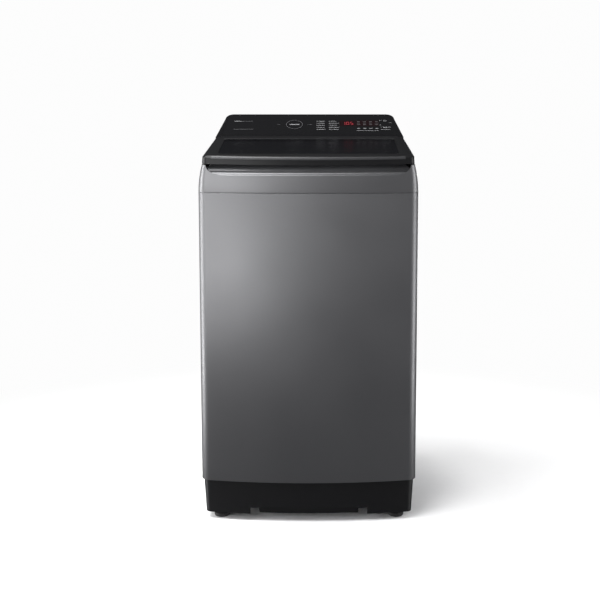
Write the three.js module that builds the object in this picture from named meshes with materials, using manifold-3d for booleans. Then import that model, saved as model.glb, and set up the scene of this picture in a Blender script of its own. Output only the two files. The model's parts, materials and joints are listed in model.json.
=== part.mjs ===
// Top load washing machine with a bowed front, a hinged glass lid and a raised rear console.
// Millimetres, +Z up. The front faces -Y, and the origin is on the floor under the middle of the cabinet.
import * as THREE from 'three';
import { mergeVertices } from 'three/addons/utils/BufferGeometryUtils.js';
import Module from 'manifold-3d';

const wasm = await Module();
wasm.setup();

// ---------- Driving dimensions ----------
const width = 540;
const depth = 568;
const height = 1005;
const half = width / 2;
const frontY = -depth / 2;              // middle of the bowed front
const backY = 276;                      // rear of the cabinet; the hose spigots reach depth / 2
const bowAngle = THREE.MathUtils.degToRad(11);
const cornerRadius = 26;                // upright front corners
const rearRadius = 6;
const gap = 0.4;                        // air between neighbouring pieces

const baseBottom = 17.5;
const cabinetBottom = 103.5;
const seam = 829;                       // cabinet below, top cover above
const sheet = 1.2;
const plastic = 3;

const lidFrontY = -274;
const lidFrontTop = 918;
const lidRise = 0.068;                  // slope of the lid and of the deck under it
const lidThickness = 21;
const lidRearY = 172.5;
const deckGap = 3;                      // the bumpers hold the lid this far off the deck
const consoleFrontY = 175;

const tubY = 6;                         // the tub, the basket and the pulsator turn about (0, tubY)
const tubRadius = 250;
const tubBottom = 215;
const tubTop = 788;
const basketRadius = 221.5;
const round = 32;                       // facets round a large turned piece

const lidTop = (y) => lidFrontTop + lidRise * (y - lidFrontY);
const lidUnder = (y) => lidTop(y) - lidThickness;
const coverTop = (y) => lidUnder(y) - deckGap;

// ---------- Materials ----------
function finish(color, roughness, metalness) {
  return new THREE.MeshStandardMaterial({ color, roughness, metalness });
}
const greyPaint = finish(0x6b6c6f, 0.38, 0.6);
const greyPlastic = finish(0x66676a, 0.42, 0.4);
const blackPlastic = finish(0x1b1b1d, 0.5, 0);
const glossBlack = finish(0x0d0d0f, 0.12, 0);
const smokedGlass = finish(0x16171a, 0.06, 0);
const whitePlastic = finish(0xd9dbdc, 0.45, 0);
const lightPlastic = finish(0xaeb1b4, 0.5, 0);
const stainless = finish(0xb9bcc0, 0.28, 1);
const zincSteel = finish(0x9da1a4, 0.45, 0.9);
const rubber = finish(0x1c1c1c, 0.85, 0);
const circuitGreen = finish(0x2c5a3a, 0.6, 0);

// ---------- Solids ----------
function signedVolume(points, indices) {
  const [a, b, c] = [new THREE.Vector3(), new THREE.Vector3(), new THREE.Vector3()];
  let six = 0;
  for (let i = 0; i < indices.length; i += 3) {
    a.fromArray(points, indices[i] * 3);
    b.fromArray(points, indices[i + 1] * 3);
    c.fromArray(points, indices[i + 2] * 3);
    six += a.dot(b.cross(c));
  }
  return six / 6;
}

// A closed geometry as a solid that can be joined and cut, with its faces turned outward.
function solid(geometry) {
  const bare = geometry.clone();
  bare.deleteAttribute('normal');
  bare.deleteAttribute('uv');
  const merged = mergeVertices(bare, 1e-3);
  const points = Float32Array.from(merged.attributes.position.array);
  const indices = Uint32Array.from(merged.index.array);
  if (signedVolume(points, indices) < 0) indices.reverse();
  return new wasm.Manifold(new wasm.Mesh({ numProp: 3, vertProperties: points, triVerts: indices }));
}

const join = (first, ...others) => others.reduce((sum, other) => sum.add(other), first);
const cut = (first, ...others) => others.reduce((rest, other) => rest.subtract(other), first);

function block(x0, x1, y0, y1, z0, z1) {
  const box = new THREE.BoxGeometry(x1 - x0, y1 - y0, z1 - z0);
  return solid(box.translate((x0 + x1) / 2, (y0 + y1) / 2, (z0 + z1) / 2));
}

// A cylinder between two points.
function rod(from, to, radius, facets = 18) {
  const [start, end] = [new THREE.Vector3(...from), new THREE.Vector3(...to)];
  const along = end.clone().sub(start);
  const upright = new THREE.Vector3(0, 1, 0);
  const turn = new THREE.Quaternion().setFromUnitVectors(upright, along.clone().normalize());
  const cylinder = new THREE.CylinderGeometry(radius, radius, along.length(), facets).applyQuaternion(turn);
  const middle = start.add(end).multiplyScalar(0.5);
  return solid(cylinder.translate(middle.x, middle.y, middle.z));
}

const upright = (x, y, z0, z1, radius, facets) => rod([x, y, z0], [x, y, z1], radius, facets);

// A turned piece: [radius, height] points about the upright line through (x, y).
function turned(profile, { x = 0, y = 0, facets = round } = {}) {
  const points = profile.map(([radius, z]) => new THREE.Vector2(radius, z));
  if (profile[0][0] > 0) points.push(points[0].clone());
  return solid(new THREE.LatheGeometry(points, facets).rotateX(Math.PI / 2).translate(x, y, 0));
}

function prism(points, z0, z1) {
  const shape = new THREE.Shape(points);
  return solid(new THREE.ExtrudeGeometry(shape, { depth: z1 - z0, bevelEnabled: false }).translate(0, 0, z0));
}

// A side-view outline of [y, z] points carried across from x0 to x1.
function sidePrism(points, x0, x1) {
  const shape = new THREE.Shape(points.map(([y, z]) => new THREE.Vector2(y, z)));
  const geometry = new THREE.ExtrudeGeometry(shape, { depth: x1 - x0, bevelEnabled: false });
  const axes = new THREE.Matrix4().makeBasis(
    new THREE.Vector3(0, 1, 0), new THREE.Vector3(0, 0, 1), new THREE.Vector3(1, 0, 0));
  return solid(geometry.applyMatrix4(axes).translate(x0, 0, 0));
}

// A body through a stack of rings with equally many points each, lowest ring first.
function loft(...rings) {
  const count = rings[0].length;
  const positions = rings.flat().flatMap((point) => point.toArray());
  const indices = [];
  for (let level = 0; level < rings.length - 1; level++) {
    for (let i = 0; i < count; i++) {
      const [a, b] = [level * count + i, level * count + (i + 1) % count];
      indices.push(a, b, b + count, a, b + count, a + count);
    }
  }
  const capOf = (ring) => THREE.ShapeUtils.triangulateShape(ring.map((p) => new THREE.Vector2(p.x, p.y)), []);
  const top = (rings.length - 1) * count;
  for (const [a, b, c] of capOf(rings[0])) indices.push(a, c, b);
  for (const [a, b, c] of capOf(rings.at(-1))) indices.push(top + a, top + b, top + c);
  const geometry = new THREE.BufferGeometry();
  geometry.setAttribute('position', new THREE.Float32BufferAttribute(positions, 3));
  geometry.setIndex(indices);
  return solid(geometry);
}

function arc(x, y, radius, from, to, steps) {
  return Array.from({ length: steps + 1 }, (_, i) => {
    const angle = from + (to - from) * i / steps;
    return new THREE.Vector2(x + radius * Math.cos(angle), y + radius * Math.sin(angle));
  });
}

function roundedRectangle(x0, x1, y0, y1, radius, steps = 4) {
  const quarter = Math.PI / 2;
  const centres = [[x1 - radius, y0 + radius], [x1 - radius, y1 - radius], [x0 + radius, y1 - radius],
    [x0 + radius, y0 + radius]];
  return centres.flatMap(([x, y], i) => arc(x, y, radius, (i - 1) * quarter, i * quarter, steps));
}

// The plan outline drawn in by `inset`: a bowed front, round front corners and nearly square rear ones.
function outline(inset, rear = backY - inset) {
  const [side, front] = [half - inset, frontY + inset];
  const radius = Math.max(cornerRadius - inset, 4);
  const rearCorner = Math.max(rearRadius - inset, 1);
  const endX = side - radius * (1 - Math.sin(bowAngle));
  const bow = endX * Math.tan(bowAngle) / 2;
  const cornerY = front + bow + radius * Math.cos(bowAngle);
  const steps = 10;
  const face = Array.from({ length: steps - 1 }, (_, i) => {
    const along = 2 * (i + 1) / steps - 1;
    return new THREE.Vector2(endX * along, front + bow * along * along);
  });
  return [
    ...face,
    ...arc(side - radius, cornerY, radius, bowAngle - Math.PI / 2, 0, 5),
    ...arc(side - rearCorner, rear - rearCorner, rearCorner, 0, Math.PI / 2, 2),
    ...arc(-side + rearCorner, rear - rearCorner, rearCorner, Math.PI / 2, Math.PI, 2),
    ...arc(-side + radius, cornerY, radius, Math.PI, 1.5 * Math.PI - bowAngle, 5),
  ];
}

// Lifts a plan outline to a height, or onto a sloping surface z(y).
function at(points, z) {
  return points.map((p) => new THREE.Vector3(p.x, p.y, typeof z === 'function' ? z(p.y) : z));
}

// ---------- Assembly ----------
const washer = new THREE.Group();

function add(name, body, material, parent = washer) {
  const mesh = body.getMesh();
  const geometry = new THREE.BufferGeometry();
  geometry.setAttribute('position', new THREE.BufferAttribute(mesh.vertProperties, 3));
  geometry.setIndex(new THREE.BufferAttribute(mesh.triVerts, 1));
  geometry.computeVertexNormals();
  const piece = new THREE.Mesh(geometry, material);
  piece.name = name;
  parent.add(piece);
}

// Rods hang in the four corners, and the feet stand under them.
const corners = [['front_left', -1, -205], ['front_right', 1, -205], ['rear_left', -1, 230],
  ['rear_right', 1, 230]];
const rodX = 228;
const footX = 222;
const footY = { front: -222, rear: 232 };
const footAt = (name) => footY[name.split('_')[0]];

// ---------- Base ----------
const cutOutHalf = 147;
const cutOutTop = 34;

function baseFrame() {
  const wall = 4;
  const shell = cut(
    loft(at(outline(10, backY - 2), baseBottom), at(outline(5, backY - 2), cabinetBottom - gap)),
    loft(at(outline(10 + wall, backY - 2 - wall), baseBottom - 1),
      at(outline(5 + wall, backY - 2 - wall), 98)),
    prism(outline(32), 90, 110));
  const bosses = corners.map(([name, side]) => {
    const [x, y] = [side * footX, footAt(name)];
    return block(x - 28, x + 28, y - 28, y + 28, 19, 100).intersect(prism(outline(11), 10, 110));
  });
  const shelf = block(-cutOutHalf - 10, cutOutHalf + 10, -270, -240, cutOutTop, cutOutTop + 4);
  const inside = prism(outline(12), 10, 110);
  const bar = block(-125, 125, -300, -256, baseBottom + 1, cutOutTop + 2)
    .intersect(prism(outline(20), 10, 60));
  const body = join(cut(shell, block(-cutOutHalf, cutOutHalf, -300, -240, 0, cutOutTop)),
    shelf.intersect(inside), bar, ...bosses);
  const footHoles = corners.map(([name, side]) => upright(side * footX, footAt(name), 0, 64, 6.5, 16));
  return cut(body, ...footHoles);
}

function bottomCover() {
  const plate = join(block(-188, 188, -236, 262, 24, 27), block(-254, 254, -188, 198, 24, 27));
  const slots = [];
  for (const x of [-150, -90, -30, 30, 90, 150]) slots.push(block(x - 8, x + 8, 40, 200, 20, 30));
  return cut(plate, ...slots);
}

function levellingFoot(x, y) {
  return turned([[0, 0], [18, 0], [19.5, 2.5], [19.5, 9], [15, 13], [9.5, 17], [5.5, 17], [5.5, 60], [0, 60]],
    { x, y, facets: 16 });
}

add('base_frame', baseFrame(), blackPlastic);
add('bottom_cover', bottomCover(), blackPlastic);
for (const [name, side] of corners) {
  add(`levelling_foot_${name}`, levellingFoot(side * footX, footAt(name)), rubber);
}

// ---------- Cabinet ----------
const bracketZ = 800;
const bracketSheet = 4;

function cabinetWrap() {
  const flange = 14;
  const lift = cabinetBottom - 1;
  const wall = cut(prism(outline(0), cabinetBottom, seam - gap),
    prism(outline(sheet), lift, seam - gap - sheet),
    prism(outline(sheet + flange), lift, seam + 1), block(-248, 248, 260, 290, lift, seam + 1));
  const inner = prism(outline(sheet / 2, backY - 5), bracketZ - 1, bracketZ + 10);
  const brackets = corners.map(([, side, y]) => {
    const forward = Math.sign(y);
    const [inX, outX, inY, outY] = [side * 205, side * 300, y - forward * 24, forward * 300];
    const plate = block(Math.min(inX, outX), Math.max(inX, outX), Math.min(inY, outY), Math.max(inY, outY),
      bracketZ, bracketZ + bracketSheet);
    return cut(plate.intersect(inner), upright(side * rodX, y, 780, 820, 5, 16));
  });
  return join(wall, ...brackets);
}

const drainOutlet = { x: -200, z: 190 };
const gland = { x: 215, z: 780 };
const inlet = { x: 165, z: 885 };

// A cylinder that runs front to back through a fitting of the rear wall.
const throughRear = ({ x, z }, y0, y1, radius, facets) => rod([x, y0, z], [x, y1, z], radius, facets);

function rearPanel() {
  const [inner, field] = [273.2, 277];
  const body = join(block(-262, 262, inner, inner + sheet, cabinetBottom + gap, seam - 3),
    block(-215, 215, inner, field, 330, 740));
  return cut(body, block(-215 + sheet, 215 - sheet, inner - 1, field - sheet, 330 + sheet, 740 - sheet),
    throughRear(drainOutlet, 260, 290, 17), throughRear(gland, 260, 290, 7.5, 16));
}

function drainSpigot() {
  const body = join(throughRear(drainOutlet, 250, depth / 2, 16), throughRear(drainOutlet, 250, 271, 24));
  return cut(body, throughRear(drainOutlet, 240, 290, 12.5));
}

function cordGland() {
  const body = join(throughRear(gland, 262, 281, 7), throughRear(gland, 262, 271, 11),
    throughRear(gland, 274.4, 281, 10));
  return cut(body, throughRear(gland, 250, 290, 4, 16));
}

add('cabinet_wrap', cabinetWrap(), greyPaint);
add('rear_panel', rearPanel(), zincSteel);
add('drain_spigot', drainSpigot(), blackPlastic);
add('cord_gland', cordGland(), rubber);

// ---------- Top cover ----------
const deckInset = 9;                    // the cover's sides lean in by this much from the seam to the deck
const opening = roundedRectangle(-205, 205, -232, 140, 62, 6);
const collar = roundedRectangle(-208, 208, -235, 143, 65, 6);
const scoopHalf = 244;
const scoopEdge = 878;
const hinge = { y: 166, z: lidTop(166) - 6.5 };
const lock = { x: 227, y: -30, radius: 4 };  // the pin that rises into the shut lid

// Everything outside the finger scoop's surface, grown inward by `wall`.
function scoopSpace(wall) {
  const kept = loft(at(outline(4 + wall), scoopEdge - 6 - wall),
    at(outline(12 + wall), scoopEdge - 0.5 - wall),
    at(outline(24 + wall), scoopEdge - wall), at(outline(30 + wall), scoopEdge + 5 - wall),
    at(outline(32 + wall), 930));
  return block(-scoopHalf - wall, scoopHalf + wall, -310, -190, scoopEdge - 3 - wall, 925).subtract(kept);
}

function topCover() {
  const outer = loft(at(outline(0, backY), seam), at(outline(deckInset, backY), coverTop));
  const hollow = loft(at(outline(plastic, backY - plastic), seam - 1),
    at(outline(deckInset + plastic, backY - plastic), (y) => coverTop(y) - plastic));
  const shell = join(cut(outer, cut(hollow, scoopSpace(plastic))), prism(collar, 850, 960).intersect(outer));
  return cut(shell, prism(opening, 800, 1000), scoopSpace(0),
    block(-79, 79, 138, 150, 863, 914),
    throughRear(inlet, 260, 290, 14.5), upright(lock.x, lock.y, 900, 920, lock.radius + 0.6, 16));
}

add('top_cover', topCover(), greyPlastic);

function lidLockHousing() {
  return cut(block(lock.x - 13, lock.x + 13, lock.y - 32, lock.y + 32, 872, 905),
    upright(lock.x, lock.y, 888, 920, lock.radius + 0.6, 16));
}
add('lid_lock_housing', lidLockHousing(), blackPlastic);
add('lid_lock_pin', upright(lock.x, lock.y, 889, 910, lock.radius, 16), lightPlastic);

function detergentHousing() {
  return cut(block(-82, 82, 144, 266, 860, 918), block(-78.5, 78.5, 143, 262, 863.5, 914.5));
}
function detergentDrawer() {
  const tray = cut(block(-75, 75, 141, 258, 865, 911), block(-72, -4, 146, 255, 868, 912),
    block(0, 72, 146, 255, 868, 912));
  return join(tray, block(-77, 77, 138.6, 142, 864.5, 912.5));
}
add('detergent_housing', detergentHousing(), whitePlastic);
add('detergent_drawer', detergentDrawer(), whitePlastic);

function waterInletValve() {
  const body = join(block(inlet.x - 30, inlet.x + 30, 212, 262, 866, 906),
    throughRear(inlet, 262, depth / 2, 13), throughRear(inlet, 258, 272, 18),
    upright(inlet.x - 15, 235, 900, 914, 10, 16));
  return cut(body, throughRear(inlet, 255, 290, 9.5));
}
add('water_inlet_valve', waterInletValve(), whitePlastic);

// ---------- Lid ----------
const windowFront = { y: -220, half: 223 };
const windowRear = { y: 97, half: 230 };
const cheekX = 244.5;                   // the console's hinge cheeks stand outside this
const cheekY = 150;
const lidRim = 13.5;
const pinRadius = 3.5;
const strikerFrontY = -58;
const strikerRearY = -2;

// A cylinder on the hinge line at the left (side -1) or the right (side 1).
function hingeRod(side, x0, x1, radius) {
  return rod([side * x0, hinge.y, hinge.z], [side * x1, hinge.y, hinge.z], radius, 16);
}

// The window widens a little towards the hinge.
function windowOutline(grow, radius) {
  const [front, rear] = [windowFront.y - grow, windowRear.y + grow];
  const widening = (windowRear.half - windowFront.half) / (rear - front);
  const spread = (y) => windowFront.half + grow + widening * (y - front);
  return roundedRectangle(-windowRear.half, windowRear.half, front, rear, radius, 3)
    .map((p) => new THREE.Vector2(p.x * spread(p.y) / windowRear.half, p.y));
}

// The lid's outline behind its hinge line is cut to a round edge, and stands between the cheeks.
function lidTrim() {
  const [y, z] = [hinge.y, hinge.z];
  const edge = lidRearY - y;
  const rearEdge = arc(y, z, edge, 0, Math.PI / 2, 4).map((p) => [p.x, p.y]);
  const profile = [[-300, 800], [lidRearY, 800], ...rearEdge, [y, 1000], [-300, 1000]];
  return join(sidePrism(profile, -cheekX + 0.8, cheekX - 0.8),
    block(-300, 300, -300, cheekY - 0.8, 800, 1000));
}

function lidFrame() {
  const skin = 5;
  const outer = loft(at(outline(9.5, backY), lidUnder), at(outline(10.5, backY), (y) => lidTop(y) - 5.5),
    at(outline(15, backY), (y) => lidTop(y) - 0.9), at(outline(19, backY), lidTop)).intersect(lidTrim());
  const hollow = loft(at(outline(lidRim, backY), (y) => lidUnder(y) - 1),
    at(outline(lidRim, backY), (y) => lidTop(y) - skin));
  const pocket = hollow.intersect(block(-300, 300, -300, cheekY - 4, 800, 1000));
  const pinHoles = [-1, 1].map((side) => hingeRod(side, 232, 260, pinRadius + 0.3));
  return cut(outer, pocket, prism(windowOutline(0, 14), 800, 1000), ...pinHoles);
}

const lidGlass = () => loft(at(windowOutline(-0.5, 13.5), (y) => lidTop(y) - 4.6),
  at(windowOutline(-0.5, 13.5), (y) => lidTop(y) - 0.6));

function lidInnerFrame() {
  const inset = lidRim + gap;
  const plate = loft(at(outline(inset, cheekY - 4 - gap), (y) => lidUnder(y) + 1),
    at(outline(inset, cheekY - 4 - gap), (y) => lidTop(y) - 5.5));
  return cut(plate, prism(windowOutline(-14, 10), 800, 1000),
    block(200, 300, strikerFrontY - gap, strikerRearY + gap, 800, 1000));
}

// The plate beside the window that the lock's pin rises into.
function lidLockStriker() {
  const plate = loft(at(outline(lidRim + gap), (y) => lidUnder(y) + 1),
    at(outline(lidRim + gap), (y) => lidTop(y) - 8));
  return cut(plate.intersect(block(214, 300, strikerFrontY, strikerRearY, 800, 1000)),
    upright(lock.x, lock.y, 900, 950, lock.radius + 2.4, 16));
}

add('lid_frame', lidFrame(), glossBlack);
add('lid_glass', lidGlass(), smokedGlass);
add('lid_inner_frame', lidInnerFrame(), lightPlastic);
add('lid_lock_striker', lidLockStriker(), lightPlastic);
for (const [name, side] of [['left', -1], ['right', 1]]) {
  const bumperY = -246;
  const under = lidUnder(bumperY);
  add(`lid_bumper_${name}`, upright(side * 217, bumperY, under - 2.6, under + 0.6, 5, 16), rubber);
  add(`hinge_pin_${name}`, hingeRod(side, 234, 254, pinRadius), zincSteel);
}

// ---------- Console ----------
const consoleFront = { y: consoleFrontY, z: lidTop(consoleFrontY) - 0.2, half: 259 };
const consoleRear = { y: backY, z: height, half: 239 };
const tilt = Math.atan2(consoleRear.z - consoleFront.z, consoleRear.y - consoleFront.y);
const slopeLength = Math.hypot(consoleRear.z - consoleFront.z, consoleRear.y - consoleFront.y);
const consoleTop = (y) => consoleFront.z + (y - consoleFront.y) * Math.tan(tilt);

// Pieces on the sloping face are drawn flat: x across, y up the slope, z out of the face, zero at its middle.
const fascia = new THREE.Group();
fascia.position.set(0, (consoleFront.y + consoleRear.y) / 2, (consoleFront.z + consoleRear.z) / 2);
fascia.rotation.x = tilt;
fascia.updateMatrixWorld();
washer.add(fascia);

function onFascia(body) {
  const mesh = body.getMesh();
  const geometry = new THREE.BufferGeometry();
  geometry.setAttribute('position', new THREE.BufferAttribute(Float32Array.from(mesh.vertProperties), 3));
  geometry.setIndex(new THREE.BufferAttribute(Uint32Array.from(mesh.triVerts), 1));
  return solid(geometry.applyMatrix4(fascia.matrixWorld));
}

// Plan outline of the console: straight in front, sides drawing in towards rounded rear corners.
function consoleOutline(inset, frontHalf, rearHalf, radius) {
  const [front, rear] = [consoleFrontY + inset, backY - inset];
  const corner = arc(rearHalf - inset - radius, rear - radius, radius, 0, Math.PI / 2, 5);
  const mirrored = corner.map((p) => new THREE.Vector2(-p.x, p.y)).reverse();
  return [new THREE.Vector2(-frontHalf + inset, front), new THREE.Vector2(frontHalf - inset, front),
    ...corner, ...mirrored];
}

const panel = { frontHalf: 246, rearHalf: 228, halfDepth: slopeLength / 2 - 7 };

function fasciaPlate(grow) {
  const [front, rear, reach] = [panel.frontHalf + grow, panel.rearHalf + grow, panel.halfDepth + grow];
  const corners = [[-front, -reach], [front, -reach], [rear, reach], [-rear, reach]];
  return corners.map((p) => new THREE.Vector2(...p));
}

function consoleHousing() {
  const lower = (inset) => consoleOutline(inset, 260.5, 260.5, 8);
  const upper = (inset) => consoleOutline(inset, consoleFront.half, consoleRear.half, 22);
  const outer = loft(at(lower(0), (y) => coverTop(y) + gap), at(upper(0), consoleTop));
  const inner = loft(at(lower(plastic), (y) => coverTop(y) - 5),
    at(upper(plastic), (y) => consoleTop(y) - 3.6));
  const cheeks = [-1, 1].map((side) => {
    const rearY = consoleFrontY + 1;
    const profile = [[cheekY, coverTop(cheekY) + gap], [rearY, coverTop(rearY) + gap],
      [rearY, lidTop(consoleFrontY) - 0.3], [cheekY, lidTop(cheekY) - 0.3]];
    const [x0, x1] = side < 0 ? [-consoleFront.half, -cheekX] : [cheekX, consoleFront.half];
    return cut(sidePrism(profile, x0, x1), hingeRod(side, 240, 255, pinRadius + 0.3));
  });
  const rebate = onFascia(prism(fasciaPlate(gap), -2, 5));
  const well = prism(roundedRectangle(-222, 222, 8 - panel.halfDepth, panel.halfDepth - 8, 6, 2), -8, 5);
  return cut(join(cut(outer, inner), ...cheeks), rebate, onFascia(well));
}

const keyThickness = 4;
const circle = (x, y, radius, facets) => arc(x, y, radius, 0, 2 * Math.PI * (1 - 1 / facets), facets - 1);

const keys = [
  { name: 'program_key', outline: (grow) => circle(-43, 2, 23.5 + grow, 24) },
  ...[137, 154, 171, 188].map((x, i) => ({
    name: `option_key_${i + 1}`,
    outline: (grow) => roundedRectangle(x - 6.5 - grow, x + 6.5 + grow, -23 - grow, -15 + grow, 2, 2),
  })),
  { name: 'power_key', outline: (grow) => circle(212, 22, 7 + grow, 16) },
  { name: 'start_key', outline: (grow) => circle(212, -14, 9 + grow, 16) },
];
const lensOutline = (grow) => roundedRectangle(84 - grow, 194 + grow, -6 - grow, 24 + grow, 3, 2);

function consolePanel() {
  const holes = keys.map((key) => prism(key.outline(gap), -5, 5));
  return cut(prism(fasciaPlate(0), -1.6, 0), ...holes, prism(lensOutline(gap), -5, 5));
}

add('console_housing', consoleHousing(), glossBlack);
add('console_panel', consolePanel(), glossBlack, fascia);
add('display_lens', prism(lensOutline(0), -1.8, 0.1), smokedGlass, fascia);
for (const key of keys) add(key.name, prism(key.outline(0), -keyThickness, 0.3), glossBlack, fascia);

function controlBoard() {
  const parts = [block(84, 194, -6, 24, -9, -3), block(-60, -26, -10, 14, -9, -6.5),
    block(205, 219, -22, 30, -9, -6.5), block(-190, -110, -20, 20, -16, -10)];
  return join(block(-200, 220, -28, 32, -11, -9), ...parts);
}
add('control_board', controlBoard(), circuitGreen, fascia);

// ---------- Hung tub ----------
const plateTop = tubBottom - gap;
const neckRadius = 36;
const drain = { x: -110, y: 175 };

function outerTub() {
  const shell = turned([[neckRadius + gap, tubBottom], [232, tubBottom], [tubRadius, 233],
    [tubRadius, tubTop],
    [tubRadius - 3, tubTop], [tubRadius - 3, 235], [231, 218.5], [neckRadius + gap, 218.5]], { y: tubY });
  const lugs = corners.map(([, side, y]) => {
    const [dx, dy] = [side * rodX, y - tubY];
    const reach = Math.hypot(dx, dy);
    const arm = new THREE.BoxGeometry(reach - tubRadius + 2, 34, 16);
    arm.translate((reach + tubRadius - 2) / 2, 0, 293).rotateZ(Math.atan2(dy, dx)).translate(0, tubY, 0);
    return cut(join(solid(arm), upright(dx, y, 285, 301, 20)), upright(dx, y, 280, 310, 5.5, 16));
  });
  return cut(join(shell, ...lugs), upright(drain.x, drain.y, 200, 230, 16));
}

function tubCover() {
  return turned([[tubRadius + gap, 776], [tubRadius + 4, 776], [tubRadius + 4, 796], [212, 806], [206, 806],
    [206, 788], [209, 788], [209, 801.5], [tubRadius + gap, 792]], { y: tubY });
}

function supportPlate() {
  const plate = prism(roundedRectangle(-215, 215, tubY - 112, tubY + 112, 60), plateTop - 3, plateTop);
  return cut(plate, upright(0, tubY, 200, 220, neckRadius + gap, round));
}

function gearboxHousing() {
  const [bore, under] = [14.8, plateTop - 3 - gap];
  return turned([[bore, 112], [56, 112], [62, 120], [62, under - 6], [58, under], [neckRadius, under],
    [neckRadius, 226], [bore, 226]], { y: tubY });
}

const motorX = 135;

function motorHousing() {
  const top = plateTop - 3 - gap;
  return turned([[0, 116], [14, 112], [40, 114], [54, 124], [56, 130], [56, top - 10], [48, top], [0, top]],
    { x: motorX, y: tubY, facets: 24 });
}

// Belt drive: the belt's pitch radii set the ratio of 5 between the pulleys.
const [largePitch, smallPitch, beltHalf, beltZ] = [80, 16, 2.1, 93];

function vPulley(pitch, hub, z0, z1, x, facets) {
  return turned([[0, z0], [hub, z0], [hub, beltZ - 7.5], [pitch + 2.5, beltZ - 7.5], [pitch + 2.5, beltZ - 7],
    [pitch - 4.5, beltZ], [pitch + 2.5, beltZ + 7], [pitch + 2.5, beltZ + 7.5], [hub, beltZ + 7.5], [hub, z1],
    [0, z1]], { x, y: tubY, facets });
}

function beltLoop(offset) {
  const [large, small] = [largePitch + offset, smallPitch + offset];
  const lean = Math.acos((large - small) / motorX);
  return [...arc(0, tubY, large, lean, 2 * Math.PI - lean, 36), ...arc(motorX, tubY, small, -lean, lean, 12)];
}

add('outer_tub', outerTub(), whitePlastic);
add('tub_cover', tubCover(), whitePlastic);
add('support_plate', supportPlate(), zincSteel);
add('gearbox_housing', gearboxHousing(), zincSteel);
add('motor_housing', motorHousing(), zincSteel);
add('driven_pulley', vPulley(largePitch, 12, 80, 111, 0, round), zincSteel);
add('motor_pulley', vPulley(smallPitch, 7, 80, 111.2, motorX, 20), zincSteel);
add('drive_belt', cut(prism(beltLoop(beltHalf), beltZ - 2, beltZ + 2), prism(beltLoop(-beltHalf), 80, 110)),
  rubber);

function drainValve() {
  const profile = [[0, 160], [24, 160], [24, plateTop - 10], [30, plateTop - 6], [30, plateTop],
    [0, plateTop]];
  const body = join(turned(profile, { ...drain, facets: 18 }),
    rod([drain.x, drain.y, 182], [drain.x - 52, drain.y + 30, 182], 14));
  return cut(body, upright(drain.x, drain.y, 176, 230, 16),
    rod([drain.x, drain.y, 182], [drain.x - 60, drain.y + 34.6, 182], 10.5));
}
add('drain_valve', drainValve(), blackPlastic);

// Each rod hangs from a corner bracket, and a cup under the tub's lug holds the spring on the rod's foot.
for (const [name, side, y] of corners) {
  const x = side * rodX;
  const nutZ = bracketZ + bracketSheet + gap;
  add(`suspension_rod_${name}`, turned([[0, 236], [15, 236], [15, 240], [3.5, 241], [3.5, nutZ],
    [8, nutZ], [9, 812], [5, 816], [0, 816]], { x, y, facets: 10 }), zincSteel);
  add(`damper_cup_${name}`, turned([[4.4, 280], [17, 280], [17, 228], [20, 228], [20, 284.6], [4.4, 284.6]],
    { x, y, facets: 16 }), blackPlastic);
}

// ---------- Basket ----------
function washBasket() {
  const wall = 1.2;
  return turned([[basketRadius - wall, 262], [basketRadius, 262], [basketRadius, 737.6],
    [basketRadius - wall, 737.6]], { y: tubY });
}

const balanceRing = () => turned([[200, 738], [222, 738], [225, 742], [225, 770], [219, 776], [204, 776],
  [198, 770], [198, 744]], { y: tubY });

const basketBase = () => turned([[15, 244], [60, 244], [205, 254], [219, 260], [219, 276], [214, 276],
  [204, 264], [60, 258], [15, 258]], { y: tubY });

function lintFilter() {
  const body = prism(roundedRectangle(-46, 46, 199, 219, 8, 3), 470, 700);
  return cut(body, prism(roundedRectangle(-41, 41, 202.5, 216, 5, 2), 478, 710));
}

add('wash_basket', washBasket(), stainless);
add('balance_ring', balanceRing(), lightPlastic);
add('basket_base', basketBase(), lightPlastic);
add('spin_shaft', turned([[8.4, 113], [14.3, 113], [14.3, 258], [8.4, 258]], { y: tubY, facets: 24 }),
  stainless);
add('lint_filter', lintFilter(), whitePlastic);

function pulsator() {
  const dish = turned([[0, 275], [150, 275], [166, 286], [169, 296], [160, 293], [140, 284], [70, 290],
    [34, 304], [0, 306]], { y: tubY });
  const vane = [[28, 284], [152, 280], [152, 290], [118, 311], [66, 321], [34, 316]];
  const vanes = Array.from({ length: 6 }, (_, i) => {
    const shape = new THREE.Shape(vane.map(([radius, z]) => new THREE.Vector2(radius, z)));
    const geometry = new THREE.ExtrudeGeometry(shape, { depth: 12, bevelEnabled: false });
    geometry.rotateX(Math.PI / 2).translate(0, 6, 0).rotateZ(i * Math.PI / 3).translate(0, tubY, 0);
    return solid(geometry);
  });
  return cut(join(dish, ...vanes), upright(0, tubY, 270, 298, 8), upright(0, tubY, 305, 330, 27, 32));
}

add('pulsator', pulsator(), lightPlastic);
add('pulsator_shaft', turned([[0, 112], [7.6, 112], [7.6, 297.5], [0, 297.5]], { y: tubY, facets: 20 }),
  stainless);
add('pulsator_cap', turned([[0, 306.4], [26, 306.4], [26, 316], [18, 321], [0, 323]],
  { y: tubY, facets: 32 }),
  lightPlastic);

export default washer;
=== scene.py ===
import json
import math
import random

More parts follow.
